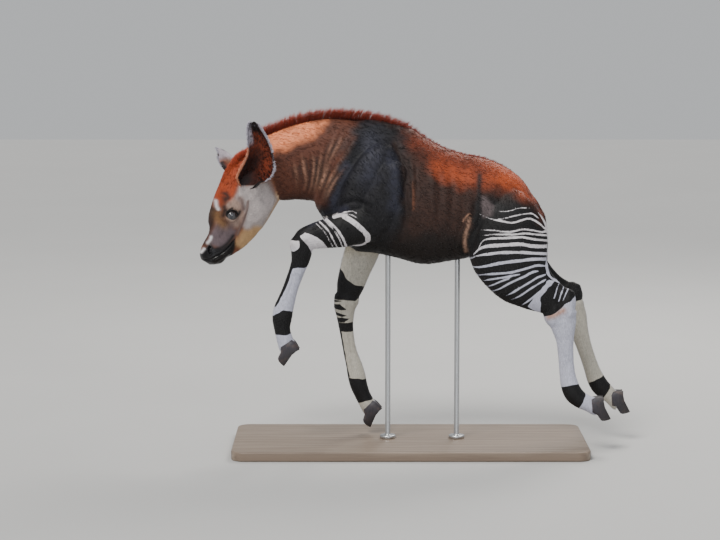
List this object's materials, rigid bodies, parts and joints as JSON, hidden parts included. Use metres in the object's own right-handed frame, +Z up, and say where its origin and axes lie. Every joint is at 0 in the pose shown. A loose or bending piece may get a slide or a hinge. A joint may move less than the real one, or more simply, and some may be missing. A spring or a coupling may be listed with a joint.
{
  "type": "okapi calf model",
  "caption": "Life-size still model of an okapi calf in a leaping pose, with banded legs and a short upright mane, held above a flat display base by rods.",
  "frame": {"origin": "middle of the display base's underside, on the floor", "axes": "+Z up, the calf faces -X, its left side is towards -Y"},
  "size_m": [1.282, 0.44, 1.0312],
  "materials": {
    "coat_chestnut": "short dense coat, red chestnut over near black",
    "coat_face": "very short pale grey and tan facial coat",
    "coat_leg": "short coat, cream white banded with black",
    "coat_ear": "thin velvety coat with a pale fringe",
    "eye": "dark wet glass eye",
    "hoof_horn": "dull dark slate horn",
    "stand_board": "satin grey painted board",
    "stand_steel": "fine brushed steel rod"
  },
  "bodies": {
    "root": {"torso": "coat_chestnut", "neck": "coat_chestnut", "head": "coat_face", "tail": "coat_chestnut", "ear_left": "coat_ear", "ear_right": "coat_ear", "eye_left": "eye", "eye_right": "eye", "leg_fore_left": "coat_leg", "leg_fore_right": "coat_leg", "leg_hind_left": "coat_leg", "leg_hind_right": "coat_leg", "claw_fore_left_a": "hoof_horn", "claw_fore_left_b": "hoof_horn", "claw_fore_right_a": "hoof_horn", "claw_fore_right_b": "hoof_horn", "claw_hind_left_a": "hoof_horn", "claw_hind_left_b": "hoof_horn", "claw_hind_right_a": "hoof_horn", "claw_hind_right_b": "hoof_horn", "stand_base": "stand_board", "stand_rod_front": "stand_steel", "stand_rod_rear": "stand_steel"}
  },
  "joints": []
}
